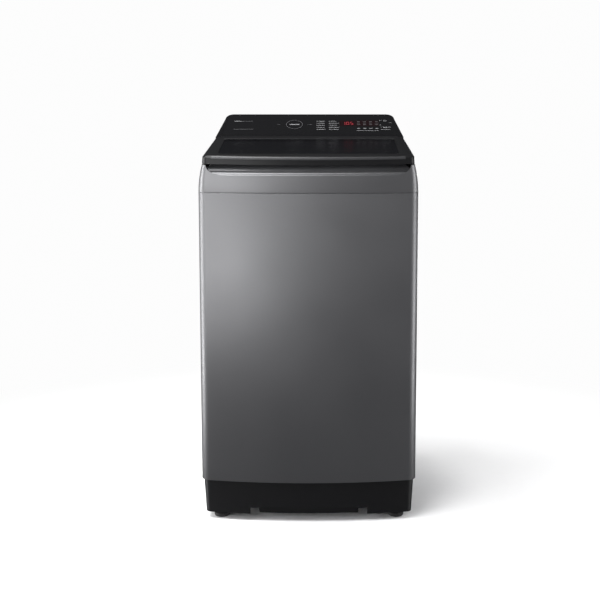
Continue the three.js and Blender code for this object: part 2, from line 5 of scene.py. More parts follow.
import bmesh
import bpy
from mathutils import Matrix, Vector

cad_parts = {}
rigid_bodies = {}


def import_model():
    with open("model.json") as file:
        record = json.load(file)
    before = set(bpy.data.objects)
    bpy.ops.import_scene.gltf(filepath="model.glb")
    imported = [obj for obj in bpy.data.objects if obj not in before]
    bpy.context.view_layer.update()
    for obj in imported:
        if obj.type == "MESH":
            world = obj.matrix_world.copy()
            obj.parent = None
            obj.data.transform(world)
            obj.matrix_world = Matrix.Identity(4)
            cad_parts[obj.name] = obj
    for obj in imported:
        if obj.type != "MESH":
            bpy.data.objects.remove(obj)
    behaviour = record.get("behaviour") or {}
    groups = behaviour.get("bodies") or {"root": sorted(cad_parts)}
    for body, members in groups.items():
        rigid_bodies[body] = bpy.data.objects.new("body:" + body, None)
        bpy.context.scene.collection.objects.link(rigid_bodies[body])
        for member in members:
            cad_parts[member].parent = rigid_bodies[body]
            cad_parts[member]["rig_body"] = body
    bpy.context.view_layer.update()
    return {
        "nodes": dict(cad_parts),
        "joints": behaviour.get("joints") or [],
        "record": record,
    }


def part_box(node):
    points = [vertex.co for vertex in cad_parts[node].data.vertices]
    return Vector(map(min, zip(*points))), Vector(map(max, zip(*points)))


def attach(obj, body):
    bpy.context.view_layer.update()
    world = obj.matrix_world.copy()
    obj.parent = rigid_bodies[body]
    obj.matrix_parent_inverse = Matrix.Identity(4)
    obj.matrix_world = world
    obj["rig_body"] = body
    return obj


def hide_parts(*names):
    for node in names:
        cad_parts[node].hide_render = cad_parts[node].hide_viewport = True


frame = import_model()
joints = {joint["name"]: joint for joint in frame["joints"]}
mm = 0.001
print("frame:", len(frame["nodes"]), "nodes")

# camera
cameraView = {"place": (0.0252, -3.206, 1.0961), "pitchDown": 0.1367, "lens": 72.8,
              "shift": (-0.0312, -0.085)}
cameraData = bpy.data.cameras.new("viewCamera")
cameraData.lens = cameraView["lens"]
cameraData.sensor_width = 36
cameraData.shift_x, cameraData.shift_y = cameraView["shift"]
viewCamera = bpy.data.objects.new("viewCamera", cameraData)
viewCamera.location = cameraView["place"]
viewCamera.rotation_euler = (math.pi / 2 - cameraView["pitchDown"], 0, 0)
bpy.context.scene.collection.objects.link(viewCamera)
bpy.context.scene.camera = viewCamera


# every finish is a principled shader with a grain that breaks up its colour, gloss and surface
def finish(name, colour, roughness, metallic=0.0, coat=0.0, specular=0.5, grain=300.0, stretch=(1, 1, 1),
           colourSpread=0.04, roughSpread=0.04, bumpDepth=0.02, bumpReach=0.0002, cells=False, glow=None,
           clear=0.0, ior=1.5, anisotropic=0.0):
    material = bpy.data.materials.new(name)
    material.use_nodes = True
    nodes, links = material.node_tree.nodes, material.node_tree.links
    shader = nodes["Principled BSDF"]
    shader.inputs["Metallic"].default_value = metallic
    shader.inputs["Coat Weight"].default_value = coat
    shader.inputs["Coat Roughness"].default_value = 0.04
    shader.inputs["Specular IOR Level"].default_value = specular
    shader.inputs["IOR"].default_value = ior
    shader.inputs["Transmission Weight"].default_value = clear
    shader.inputs["Anisotropic"].default_value = anisotropic
    place = nodes.new("ShaderNodeTexCoord")
    mapping = nodes.new("ShaderNodeMapping")
    mapping.inputs["Scale"].default_value = stretch
    links.new(place.outputs["Object"], mapping.inputs["Vector"])
    if cells:
        texture = nodes.new("ShaderNodeTexVoronoi")
        fine = texture.outputs["Color"]
    else:
        texture = nodes.new("ShaderNodeTexNoise")
        texture.inputs["Detail"].default_value = 4
        fine = texture.outputs["Fac"]
    texture.inputs["Scale"].default_value = grain
    links.new(mapping.outputs["Vector"], texture.inputs["Vector"])
    broad = nodes.new("ShaderNodeTexNoise")
    broad.inputs["Scale"].default_value = 5
    links.new(place.outputs["Object"], broad.inputs["Vector"])
    ramp = nodes.new("ShaderNodeValToRGB")
    ramp.color_ramp.elements[0].position = 0.3
    ramp.color_ramp.elements[1].position = 0.7
    ramp.color_ramp.elements[0].color = [channel * (1 - colourSpread) for channel in colour] + [1]
    ramp.color_ramp.elements[1].color = [min(channel * (1 + colourSpread), 1) for channel in colour] + [1]
    links.new(fine, ramp.inputs["Fac"])
    links.new(ramp.outputs["Color"], shader.inputs["Base Color"])
    gloss = nodes.new("ShaderNodeMapRange")
    gloss.inputs["From Min"].default_value = 0.3
    gloss.inputs["From Max"].default_value = 0.7
    gloss.inputs["To Min"].default_value = max(roughness - roughSpread, 0.01)
    gloss.inputs["To Max"].default_value = roughness + roughSpread
    links.new(broad.outputs["Fac"], gloss.inputs["Value"])
    links.new(gloss.outputs["Result"], shader.inputs["Roughness"])
    bump = nodes.new("ShaderNodeBump")
    bump.inputs["Strength"].default_value = bumpDepth
    bump.inputs["Distance"].default_value = bumpReach
    links.new(fine, bump.inputs["Height"])
    links.new(bump.outputs["Normal"], shader.inputs["Normal"])
    if glow:
        links.new(ramp.outputs["Color"], shader.inputs["Emission Color"])
        shader.inputs["Emission Strength"].default_value = glow
    return material


steelPaint = finish("steelPaint", (0.125, 0.125, 0.129), 0.47, metallic=0.85, grain=1800, colourSpread=0.1,
                    bumpDepth=0.03)
coverPaint = finish("coverPaint", (0.125, 0.125, 0.129), 0.45, metallic=0.8, grain=1600, colourSpread=0.08,
                    bumpDepth=0.04)
basePlastic = finish("basePlastic", (0.005, 0.005, 0.0055), 0.42, specular=0.13, grain=1400,
                     colourSpread=0.15, bumpDepth=0.2)
pianoBlack = finish("pianoBlack", (0.006, 0.006, 0.0065), 0.1, specular=0.3, grain=900, colourSpread=0.1,
                    roughSpread=0.02, bumpDepth=0.008)
lidBlack = finish("lidBlack", (0.009, 0.009, 0.0095), 0.34, specular=0.13, grain=1500, colourSpread=0.1,
                  bumpDepth=0.04)
# lighter than the lid's black: a satin trim colour with a painted highlight along the lid's edges in it
edgeSatinAndPaintedHighlight = finish("edgeSatinAndPaintedHighlight", (0.04, 0.04, 0.042), 0.38, metallic=0.3, specular=0.25, grain=900,
                   colourSpread=0.08)
smokedGlass = finish("smokedGlass", (0.006, 0.006, 0.007), 0.2, specular=0.2, clear=0.3, ior=1.3, grain=700,
                     roughSpread=0.02, bumpDepth=0.003)
glassBorder = finish("glassBorder", (0.002, 0.002, 0.0025), 0.26, specular=0.08, grain=900, colourSpread=0.1,
                     bumpDepth=0.01)
displayWindow = finish("displayWindow", (0.008, 0.004, 0.0045), 0.1, specular=0.3, grain=700,
                       roughSpread=0.02, bumpDepth=0.006)
lightPlastic = finish("lightPlastic", (0.42, 0.43, 0.45), 0.45, grain=900, colourSpread=0.03, bumpDepth=0.12)
whitePlastic = finish("whitePlastic", (0.68, 0.7, 0.71), 0.4, grain=900, colourSpread=0.02, bumpDepth=0.1)
drumSteel = finish("drumSteel", (0.55, 0.56, 0.57), 0.26, metallic=1.0, grain=220, stretch=(1, 1, 14),
                   colourSpread=0.08, bumpDepth=0.05, anisotropic=0.4)
zincSheet = finish("zincSheet", (0.38, 0.39, 0.4), 0.42, metallic=0.85, grain=110, colourSpread=0.06,
                   bumpDepth=0.03, cells=True)
castMetal = finish("castMetal", (0.4, 0.4, 0.41), 0.5, metallic=0.9, grain=500, colourSpread=0.08,
                   bumpDepth=0.3)
footRubber = finish("footRubber", (0.01, 0.01, 0.01), 0.7, specular=0.3, grain=1200, colourSpread=0.2,
                    bumpDepth=0.35)
boardGreen = finish("boardGreen", (0.02, 0.12, 0.05), 0.35, coat=0.3, grain=160, colourSpread=0.3, cells=True)
printWhite = finish("printWhite", (0.2, 0.2, 0.205), 0.5, grain=2500, colourSpread=0.12, bumpDepth=0.02)
printGrey = finish("printGrey", (0.05, 0.05, 0.053), 0.5, grain=2500, colourSpread=0.15, bumpDepth=0.02)
ledRed = finish("ledRed", (0.17, 0.01, 0.016), 0.4, grain=2500, colourSpread=0.08, glow=0.12)
# dark discs for the basket's holes: painted shade seen through them
holeShadePaint = finish("holeShadePaint", (0.02, 0.02, 0.021), 0.6, grain=1500, colourSpread=0.2)
slotFinish = {"grey_paint": steelPaint, "grey_plastic": coverPaint, "base_plastic": basePlastic,
              "gloss_black": pianoBlack, "smoked_glass": smokedGlass, "display_window": displayWindow,
              "light_plastic": lightPlastic, "white_plastic": whitePlastic, "stainless_steel": drumSteel,
              "zinc_sheet": zincSheet, "cast_aluminium": castMetal, "foot_rubber": footRubber,
              "circuit_board": boardGreen}
print("finishes:", len(bpy.data.materials))


def bodyOf(node):
    return frame["nodes"][node]["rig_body"]


slotOf = {row["node"]: row["material_slot"] for row in frame["record"]["subparts"]}


# a piece from plain vertices and faces, on its body, with its finish
def makePiece(name, vertices, faces, material, body, smoothAngle=32, replaced=()):
    mesh = bpy.data.meshes.new(name)
    mesh.from_pydata([tuple(v) for v in vertices], [], faces)
    return dressMesh(name, mesh, material, body, smoothAngle, replaced)


# faces are turned outward unless the mesh already points the right way
def dressMesh(name, mesh, material, body, smoothAngle=32, replaced=(), outward=True):
    shape = bmesh.new()
    shape.from_mesh(mesh)
    bmesh.ops.remove_doubles(shape, verts=shape.verts, dist=0.00002)
    if outward:
        bmesh.ops.recalc_face_normals(shape, faces=shape.faces)
    shape.to_mesh(mesh)
    shape.free()
    mesh.materials.clear()
    mesh.materials.append(material)
    piece = bpy.data.objects.new(name, mesh)
    bpy.context.scene.collection.objects.link(piece)
    mesh.shade_smooth()
    mesh.set_sharp_from_angle(angle=math.radians(smoothAngle))
    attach(piece, body)
    if replaced:
        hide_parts(*replaced)
    return piece


# a node's own solid with its facets blended
def soften(node, material=None, smoothAngle=32):
    mesh = frame["nodes"][node].data.copy()
    shape = bmesh.new()
    shape.from_mesh(mesh)
    bmesh.ops.remove_doubles(shape, verts=shape.verts, dist=0.00001)
    bmesh.ops.dissolve_limit(shape, angle_limit=math.radians(0.5), verts=shape.verts, edges=shape.edges)
    shape.to_mesh(mesh)
    shape.free()
    for name in ("normal", "custom_normal", "sharp_edge", "sharp_face"):
        if name in mesh.attributes:
            mesh.attributes.remove(mesh.attributes[name])
    slot = slotOf[node]
    return dressMesh(node + "_formed", mesh, material or slotFinish[slot], bodyOf(node), smoothAngle,
                     (node,), outward=False)


# rings of equally many points joined into a skin
def skin(rings, closed=True, caps=False):
    count = len(rings[0])
    vertices = [point for ring in rings for point in ring]
    faces = []
    for level in range(len(rings) - 1):
        for i in range(count if closed else count - 1):
            j = (i + 1) % count
            near, far = level * count, (level + 1) * count
            faces.append((near + i, near + j, far + j, far + i))
    if caps:
        faces += [tuple(reversed(range(count))), tuple(range(len(vertices) - count, len(vertices)))]
    return vertices, faces


def circlePoints(x, y, radius, count):
    return [(x + radius * math.cos(2 * math.pi * i / count), y + radius * math.sin(2 * math.pi * i / count))
            for i in range(count)]


# a turned piece round the basket's axis, from a closed profile of [radius, height] in millimetres
axisY = (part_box("wash_basket")[0].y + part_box("wash_basket")[1].y) / 2


def turnPiece(name, profile, material, body, replaced=(), segments=96, smoothAngle=28):
    rings = [[(x, y, z * mm) for x, y in circlePoints(0, axisY, radius * mm, segments)]
             for radius, z in profile + profile[:1]]
    vertices, faces = skin(rings)
    return makePiece(name, vertices, faces, material, body, smoothAngle, replaced)


# plan outline of the cabinet: bowed front, round front corners, tight rear ones
shellPlan = {"bowAngle": math.radians(11), "cornerRadius": 26 * mm, "rearRadius": 6 * mm,
             "leastCorner": 4 * mm, "leastRear": 1 * mm, "faceSteps": 48, "cornerSteps": 14, "rearSteps": 4}
cabinetLow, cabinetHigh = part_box("cabinet_wrap")


def planOutline(inset, rear):
    side, front = cabinetHigh.x - inset, cabinetLow.y + inset
    bowAngle = shellPlan["bowAngle"]
    radius = max(shellPlan["cornerRadius"] - inset, shellPlan["leastCorner"])
    rearCorner = max(shellPlan["rearRadius"] - inset, shellPlan["leastRear"])
    endX = side - radius * (1 - math.sin(bowAngle))
    bow = endX * math.tan(bowAngle) / 2
    cornerY = front + bow + radius * math.cos(bowAngle)

    def arc(x, y, r, start, end, steps):
        angles = [start + (end - start) * i / steps for i in range(steps + 1)]
        return [(x + r * math.cos(angle), y + r * math.sin(angle)) for angle in angles]
    faceSteps = shellPlan["faceSteps"]
    face = []
    for i in range(1, faceSteps):
        along = 2 * i / faceSteps - 1
        face.append((endX * along, front + bow * along * along))
    rightCorner = arc(side - radius, cornerY, radius, bowAngle - math.pi / 2, 0, shellPlan["cornerSteps"])
    rightRear = arc(side - rearCorner, rear - rearCorner, rearCorner, 0, math.pi / 2, shellPlan["rearSteps"])
    leftRear = [(-x, y) for x, y in reversed(rightRear)]
    leftCorner = [(-x, y) for x, y in reversed(rightCorner)]
    return face, rightCorner, rightRear, leftRear, leftCorner


# painted sheet wrapped round the front and both sides, its edges turned in a little
wrapShape = {"sheet": 1.2 * mm, "edgeTurn": 0.9 * mm, "returnTo": 0.248, "smoothAngle": 50}


def wrapLine(inset):
    face, rightCorner, rightRear, leftRear, leftCorner = planOutline(inset, cabinetHigh.y - inset)
    rear = cabinetHigh.y - inset
    return ([(-wrapShape["returnTo"], rear)] + leftRear + leftCorner + face + rightCorner + rightRear
            + [(wrapShape["returnTo"], rear)])


def buildWrap():
    z0, z1 = cabinetLow.z, cabinetHigh.z
    turn, sheet = wrapShape["edgeTurn"], wrapShape["sheet"]
    section = [(sheet, z0), (turn * 0.35, z0), (0, z0 + turn * 0.5), (0, z1 - turn * 0.5), (turn * 0.35, z1),
               (sheet, z1), (sheet, z0)]
    rings = [[(x, y, z) for x, y in wrapLine(inset)] for inset, z in section]
    vertices, faces = skin(rings, closed=False)
    count = len(rings[0])
    levels = len(section) - 1
    faces.append(tuple(level * count for level in range(levels)))
    faces.append(tuple(level * count + count - 1 for level in reversed(range(levels))))
    return makePiece("cabinet_sheet", vertices, faces, steelPaint, "cabinet",
                     wrapShape["smoothAngle"], ("cabinet_wrap",))


buildWrap()
print("cabinet sheet made")


# a solid mesh from rings, for joining and cutting
def ringSolid(name, rings):
    vertices, faces = skin(rings, caps=True)
    return plainObject(name, vertices, faces)


def plainObject(name, vertices, faces):
    mesh = bpy.data.meshes.new(name)
    mesh.from_pydata([tuple(v) for v in vertices], [], faces)
    shape = bmesh.new()
    shape.from_mesh(mesh)
    bmesh.ops.recalc_face_normals(shape, faces=shape.faces)
    shape.to_mesh(mesh)
    shape.free()
    solid = bpy.data.objects.new(name, mesh)
    bpy.context.scene.collection.objects.link(solid)
    return solid


def carve(target, *steps):
    for operation, tool in steps:
        cutting = target.modifiers.new("cutting", "BOOLEAN")
        cutting.operation = operation
        cutting.object = tool
        cutting.solver = "EXACT"
        bpy.context.view_layer.update()
        shaped = bpy.data.meshes.new_from_object(target.evaluated_get(bpy.context.evaluated_depsgraph_get()))
        target.modifiers.clear()
        target.data = shaped
        bpy.data.objects.remove(tool)
    return target


def takeMesh(solid):
    mesh = solid.data
    bpy.data.objects.remove(solid)
    return mesh


def ringAt(inset, rear, z):
    points = [point for run in planOutline(inset, rear) for point in run]
    return [(x, y, z(y) if callable(z) else z) for x, y in points]


def roundedOutline(x0, x1, y0, y1, radius, steps=8):
    corners = [(x1 - radius, y0 + radius, -1), (x1 - radius, y1 - radius, 0),
               (x0 + radius, y1 - radius, 1), (x0 + radius, y0 + radius, 2)]
    return [(x + radius * math.cos((quarter + i / steps) * math.pi / 2),
             y + radius * math.sin((quarter + i / steps) * math.pi / 2))
            for x, y, quarter in corners for i in range(steps + 1)]


def prismOf(name, outline, z0, z1):
    return ringSolid(name, [[(x, y, z0) for x, y in outline], [(x, y, z1) for x, y in outline]])


def boxOf(name, x0, x1, y0, y1, z0, z1):
    return prismOf(name, [(x0, y0), (x1, y0), (x1, y1), (x0, y1)], z0, z1)


def rodOf(name, centre, radius, z0, z1, sides=24):
    return prismOf(name, circlePoints(centre[0], centre[1], radius, sides), z0, z1)


# top cover: its sides curve in above the seam, and a finger scoop runs along the front edge
coverShape = {"wall": 3 * mm, "rise": 0.068, "frontTop": 0.894, "frontY": -0.274,
              "sides": [(0.35, 0), (0.1, 0.005), (0, 0.014), (0.04, 0.06), (0.5, 0.25), (2.2, 0.5),
                        (5.2, 0.76), (9, 1)],
              "openingHalf": 0.205, "openingFront": -0.232, "openingRear": 0.14, "openingRadius": 0.062,
              "collar": 3 * mm, "collarFoot": 0.85, "inletHeight": 0.885, "inletRadius": 14.5 * mm,
              "inletSides": 24, "pinRadius": 4.6 * mm, "drawerSideGap": 2 * mm, "drawerGap": 1.5 * mm,
              "smoothAngle": 35}
scoopShape = {"half": 0.251, "foot": 0.872, "endRun": 40 * mm, "endRise": 25 * mm, "endSteps": 16,
              "top": 0.96, "front": -0.31, "rear": -0.19,
              "section": [(-5, 860), (6.0, 873.4), (6.6, 876), (8.0, 878), (10.4, 878.9), (13.6, 879.4),
                          (16.2, 880.6), (18, 882.8), (19.3, 885.6), (20.4, 888), (22.4, 889.8), (26, 891.6),
                          (31, 894), (35, 898), (36, 940)]}


def coverTop(y):
    return coverShape["frontTop"] + coverShape["rise"] * (y - coverShape["frontY"])


def scoopTool(wall):
    half, foot = scoopShape["half"] + wall, scoopShape["foot"] - wall
    run, rise, steps, top = (scoopShape[key] for key in ("endRun", "endRise", "endSteps", "top"))
    turns = [math.pi / 2 * i / steps for i in range(steps + 1)]
    end = [(half - run + run * math.sin(turn), foot + rise - rise * math.cos(turn)) for turn in turns]
    lateral = end + [(half, top), (-half, top)] + [(-x, z) for x, z in reversed(end)]
    tool = ringSolid("scoopTool", [[(x, y, z) for x, z in lateral]
                                   for y in (scoopShape["front"], scoopShape["rear"])])
    rings = [ringAt(inset * mm + wall, 0.2, z * mm - wall) for inset, z in scoopShape["section"]]
    return carve(tool, ("DIFFERENCE", ringSolid("scoopFloor", rings)))


def buildCover():
    low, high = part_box("top_cover")
    seamZ, rear, wall = low.z, high.y, coverShape["wall"]

    def rising(foot, drop, share):
        return lambda y: foot + share * (coverTop(y) - drop - foot)
    outer = ringSolid("outer", [ringAt(inset * mm, rear, rising(seamZ, 0, share))
                                for inset, share in coverShape["sides"]])
    hollow = ringSolid("hollow", [ringAt(wall + inset * mm, rear - wall, rising(seamZ - 1 * mm, wall, share))
                                  for inset, share in coverShape["sides"]])
    carve(hollow, ("DIFFERENCE", scoopTool(wall)))
    half, front, back = coverShape["openingHalf"], coverShape["openingFront"], coverShape["openingRear"]
    radius, collar = coverShape["openingRadius"], coverShape["collar"]
    opening = roundedOutline(-half, half, front, back, radius)
    rim = roundedOutline(-half - collar, half + collar, front - collar, back + collar, radius + collar)
    collarSolid = ringSolid("collar", [[(x, y, coverShape["collarFoot"]) for x, y in rim],
                                       [(x, y, coverTop(y) - wall / 2) for x, y in rim]])
    pin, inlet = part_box("lid_lock_pin"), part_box("water_inlet_valve")
    pinCentre = ((pin[0].x + pin[1].x) / 2, (pin[0].y + pin[1].y) / 2)
    drawerLow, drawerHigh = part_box("detergent_drawer")
    inletRing = circlePoints((inlet[0].x + inlet[1].x) / 2, coverShape["inletHeight"],
                             coverShape["inletRadius"], coverShape["inletSides"])
    inletHole = ringSolid("inletHole", [[(x, y, z) for x, z in inletRing] for y in (0.26, 0.29)])
    carve(outer, ("DIFFERENCE", hollow), ("UNION", collarSolid),
          ("DIFFERENCE", prismOf("openingTool", opening, 0.8, 1.0)), ("DIFFERENCE", scoopTool(0)),
          ("DIFFERENCE", boxOf("drawerHole", drawerLow.x - coverShape["drawerSideGap"],
                               drawerHigh.x + coverShape["drawerSideGap"], 0.138, 0.15,
                               drawerLow.z - coverShape["drawerGap"],
                               drawerHigh.z + coverShape["drawerGap"])),
          ("DIFFERENCE", inletHole),
          ("DIFFERENCE", rodOf("pinHole", pinCentre, coverShape["pinRadius"], 0.9, 0.92)))
    return dressMesh("top_cover_formed", takeMesh(outer), coverPaint, "cabinet",
                     coverShape["smoothAngle"], ("top_cover",), outward=False)


buildCover()
print("top cover carved")

# smooth turned pieces round the basket
ringProfile = [[200, 738], [222, 738], [225, 741], [225, 771], [222, 775], [216, 776.6], [207, 776.6],
               [201, 775], [198, 770], [198, 744]]
turnPiece("balance_ring_formed", ringProfile, lightPlastic, "basket", ("balance_ring",))
tubCoverProfile = [[250.4, 776], [254, 776], [254, 795], [251, 798], [214, 805.6], [209, 806], [206, 804],
                   [206, 788], [209, 788], [209, 801.5], [250.4, 792]]
turnPiece("tub_cover_formed", tubCoverProfile, whitePlastic, "tub", ("tub_cover",))
basketShape = {"radius": 221.5, "wall": 1.2, "foot": 262, "top": 737.6, "ribs": 6, "ribDepth": 2.2,
               "ribSharpness": 6, "stepsPerRib": 8, "segments": 120}


# how far into a pressed rib the basket's wall is, 0 to 1, at a share of its height
def ribWave(share):
    return max(0, math.cos(share * basketShape["ribs"] * 2 * math.pi)) ** basketShape["ribSharpness"]


def basketWall():
    steps = basketShape["ribs"] * basketShape["stepsPerRib"]
    inner, outer = [], []
    for i in range(steps + 1):
        share = i / steps
        z = basketShape["foot"] + share * (basketShape["top"] - basketShape["foot"])
        wave = ribWave(share) if 0 < i < steps else 0
        radius = basketShape["radius"] - wave * basketShape["ribDepth"]
        outer.append([radius, z])
        inner.append([radius - basketShape["wall"], z])
    return inner[:1] + outer + list(reversed(inner))[:-1]


turnPiece("wash_basket_formed", basketWall(), drumSteel, "basket", ("wash_basket",),
          segments=basketShape["segments"])
print("basket turned")

# a lightly rounded band along the lid's front edge and a thin rail behind the window, both lighter than the
# black lid: real rounded edges with a painted highlight in their colour
trimShape = {"bandInset": [(9.85, 9), (9.95, 7.4), (10.3, 5.4), (11.3, 3.7), (12.6, 2.4)], "proud": 0.25,
             "bandHalf": 0.249, "rise": 0.068, "frontTop": 0.918, "frontY": -0.274,
             "railHalf": 0.2315, "railY": 0.0985, "railDepth": 2.4 * mm, "railHeight": 0.5 * mm,
             "railCorner": 1.1 * mm, "borderHalf": 0.2265, "borderY": (0.046, 0.0955),
             "borderCorner": 12 * mm, "smoothAngle": 60}


def lidTop(y):
    return trimShape["frontTop"] + trimShape["rise"] * (y - trimShape["frontY"])


def buildTrims():
    outer, inner = [], []
    for inset, drop in trimShape["bandInset"]:
        for run, lift in ((outer, trimShape["proud"]), (inner, -0.4)):
            face = planOutline((inset - lift * 0.7) * mm, 0.2)[0]
            run.append([(x, y, lidTop(y) - (drop - lift * 0.7) * mm) for x, y in face
                        if abs(x) < trimShape["bandHalf"]])
    vertices, faces = skin(outer + list(reversed(inner)) + [outer[0]], closed=False)
    count, levels = len(outer[0]), 2 * len(outer)
    faces.append(tuple(level * count for level in range(levels)))
    faces.append(tuple(level * count + count - 1 for level in reversed(range(levels))))
    smooth = trimShape["smoothAngle"]
    makePiece("lid_edge_band", vertices, faces, edgeSatinAndPaintedHighlight, "lid", smooth)
    # the rail's lighter colour draws a painted highlight line along the window's rear edge
    half, y0 = trimShape["railHalf"], trimShape["railY"]
    y1, lift = y0 + trimShape["railDepth"], trimShape["railHeight"]
    outline = roundedOutline(-half, half, y0, y1, trimShape["railCorner"], 4)
    crown = [(x * 0.9985, y0 + (y - y0) * 0.7 + 0.15 * (y1 - y0), lidTop(y) + lift) for x, y in outline]
    vertices, faces = skin([[(x, y, lidTop(y) - 0.4 * mm) for x, y in outline],
                            [(x, y, lidTop(y) + lift * 0.6) for x, y in outline], crown], caps=True)
    makePiece("window_highlight_rail", vertices, faces, edgeSatinAndPaintedHighlight, "lid", smooth)
    border = roundedOutline(-trimShape["borderHalf"], trimShape["borderHalf"], *trimShape["borderY"],
                            trimShape["borderCorner"])
    vertices, faces = skin([[(x, y, lidTop(y) - drop * mm) for x, y in border] for drop in (0.8, 0.45)],
                           caps=True)
    makePiece("glass_border", vertices, faces, glassBorder, "lid", smooth)


buildTrims()
print("lid trims made")

# printing on the sloping fascia: x across, y up the slope, in millimetres from the panel's middle
faceOut = -Vector(joints["program_key_press"]["axis"]).normalized()
faceUp = Vector((0, faceOut.z, -faceOut.y))
panelLow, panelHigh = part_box("console_panel")
faceMiddle = (panelLow + panelHigh) / 2 + faceOut * 0.0008


def facePoint(x, y, lift):
    return faceMiddle + Vector((x * mm, 0, 0)) + faceUp * (y * mm) + faceOut * (lift * mm)


def printMarks(name, outlines, material, body, slot, foot=0.02, top=0.14):
    vertices, faces = [], []
    for outline in outlines:
        start, count = len(vertices), len(outline)
        vertices += [facePoint(x, y, foot) for x, y in outline] + [facePoint(x, y, top) for x, y in outline]
        faces.append(tuple(start + i for i in reversed(range(count))))
        faces.append(tuple(start + count + i for i in range(count)))
        for i in range(count):
            j = (i + 1) % count
            faces.append((start + i, start + j, start + count + j, start + count + i))
    return makePiece(name, vertices, faces, material, body, 20)


def bar(x0, x1, y0, y1, lean=0.0):
    shift = lean * (y1 - y0)
    return [(x0, y0), (x1, y0), (x1 + shift, y1), (x0 + shift, y1)]


def ringMarks(x, y, radius, width, start=0.0, end=360.0, steps=48):
    marks = []
    for i in range(steps):
        a0, a1 = (math.radians(start + (end - start) * (i + k) / steps) for k in (0, 1))
        marks.append([(x + (radius - width) * math.cos(a0), y + (radius - width) * math.sin(a0)),
                      (x + radius * math.cos(a0), y + radius * math.sin(a0)),
                      (x + radius * math.cos(a1), y + radius * math.sin(a1)),
                      (x + (radius - width) * math.cos(a1), y + (radius - width) * math.sin(a1))])
    return marks


# short dashes that stand for a line of small print
def dashLine(draw, x0, x1, y, height):
    marks, x = [], x0
    while x < x1 - 0.6:
        wide = draw.uniform(0.7, 1.5)
        marks.append(bar(x, min(x + wide, x1), y - height / 2, y + height / 2 - draw.choice((0, 0, 0.5))))
        x += wide + draw.choice((0.35, 0.35, 0.35, 1.1))
    return marks


digitBars = {"0": "abcdef", "1": "bc", "2": "abged", "3": "abgcd", "4": "fgbc", "5": "afgcd", "6": "afgedc",
             "7": "abc", "8": "abcdefg", "9": "abfgcd"}


def digitMarks(digit, x, y, wide, tall, thick):
    places = {"a": bar(x + thick, x + wide - thick, y + tall - thick, y + tall),
              "g": bar(x + thick, x + wide - thick, y + (tall - thick) / 2, y + (tall + thick) / 2),
              "d": bar(x + thick, x + wide - thick, y, y + thick),
              "f": bar(x, x + thick, y + tall / 2 + 0.3, y + tall - 0.3),
              "b": bar(x + wide - thick, x + wide, y + tall / 2 + 0.3, y + tall - 0.3),
              "e": bar(x, x + thick, y + 0.3, y + tall / 2 - 0.3),
              "c": bar(x + wide - thick, x + wide, y + 0.3, y + tall / 2 - 0.3)}
    return [places[key] for key in digitBars[digit]]


printShape = {"seed": 7, "rowPitch": 11, "rowTop": 20, "rows": 5, "rowHeight": 2.4,
              "columns": [(19, 45), (54, 82)], "keyCentres": [137, 154, 171, 188],
              "digits": [("1", 92), ("0", 103), ("5", 114)], "digitSize": (8, 15, 1.9),
              "onKey": (0.31, 0.42), "onSmallKey": (0.31, 0.4), "onWindow": (0.11, 0.2)}


def buildPrinting():
    draw = random.Random(printShape["seed"])
    small, faint = [], []
    for x0, x1 in printShape["columns"]:
        for row in range(printShape["rows"]):
            y = printShape["rowTop"] - row * printShape["rowPitch"]
            small += dashLine(draw, x0, x1 - draw.uniform(0, 8), y, printShape["rowHeight"])
    small += dashLine(draw, -213, -186, 20, 2.6)
    faint += dashLine(draw, -184, -160, 20, 2.2) + dashLine(draw, -213, -158, -23, 2.0)
    faint += dashLine(draw, -92, -82, 2, 2.2) + dashLine(draw, -6, 6, 2, 2.2)
    small += dashLine(draw, 132, 192, -30, 1.9)
    for x in printShape["keyCentres"]:
        for row in range(3):
            faint += [bar(x - 4.2, x + 4.2, 17.5 - row * 8.5, 19.3 - row * 8.5, 0.25)]
    for row, (x0, x1) in enumerate([(197, 203), (224, 231), (197, 201), (199, 227), (200, 226)]):
        small += dashLine(draw, x0, x1, 24 - row * 12, 2.2)
    printMarks("fascia_print", small, printWhite, "cabinet", "light_plastic")
    printMarks("fascia_faint_print", faint, printGrey, "cabinet", "light_plastic")
    printMarks("program_ring", ringMarks(-43, 2, 23.2, 1.1), printGrey, "program_key", "light_plastic",
               *printShape["onKey"])
    printMarks("program_mark", dashLine(draw, -57, -29, 2, 4.6), printWhite, "program_key", "light_plastic",
               *printShape["onKey"])
    for i, x in enumerate(printShape["keyCentres"]):
        marks = [bar(x - 4.6, x + 4.2, -20.2, -17.8, 0.3)]
        printMarks(f"option_mark_{i + 1}", marks, printWhite, f"option_key_{i + 1}", "light_plastic",
                   *printShape["onSmallKey"])
    power = ringMarks(212, 22, 4.2, 1.0, 120, 420, 30) + [bar(211.5, 212.5, 22.5, 27)]
    printMarks("power_mark", power, printWhite, "power_key", "light_plastic", *printShape["onSmallKey"])
    start = [[(206.5, -17.5), (211.5, -14), (206.5, -10.5)]]
    start += [bar(x, x + 1.3, -17.5, -10.5) for x in (213, 215.6)]
    printMarks("start_mark", start, printWhite, "start_key", "light_plastic", *printShape["onSmallKey"])
    lit = [mark for digit, x in printShape["digits"]
           for mark in digitMarks(digit, x, 1, *printShape["digitSize"])]
    lit += [bar(101.2, 102.2, 4.5, 6), bar(101.2, 102.2, 10.5, 12)]
    printMarks("display_digits", lit, ledRed, "cabinet", "display_window", *printShape["onWindow"])


buildPrinting()
print("fascia printed")

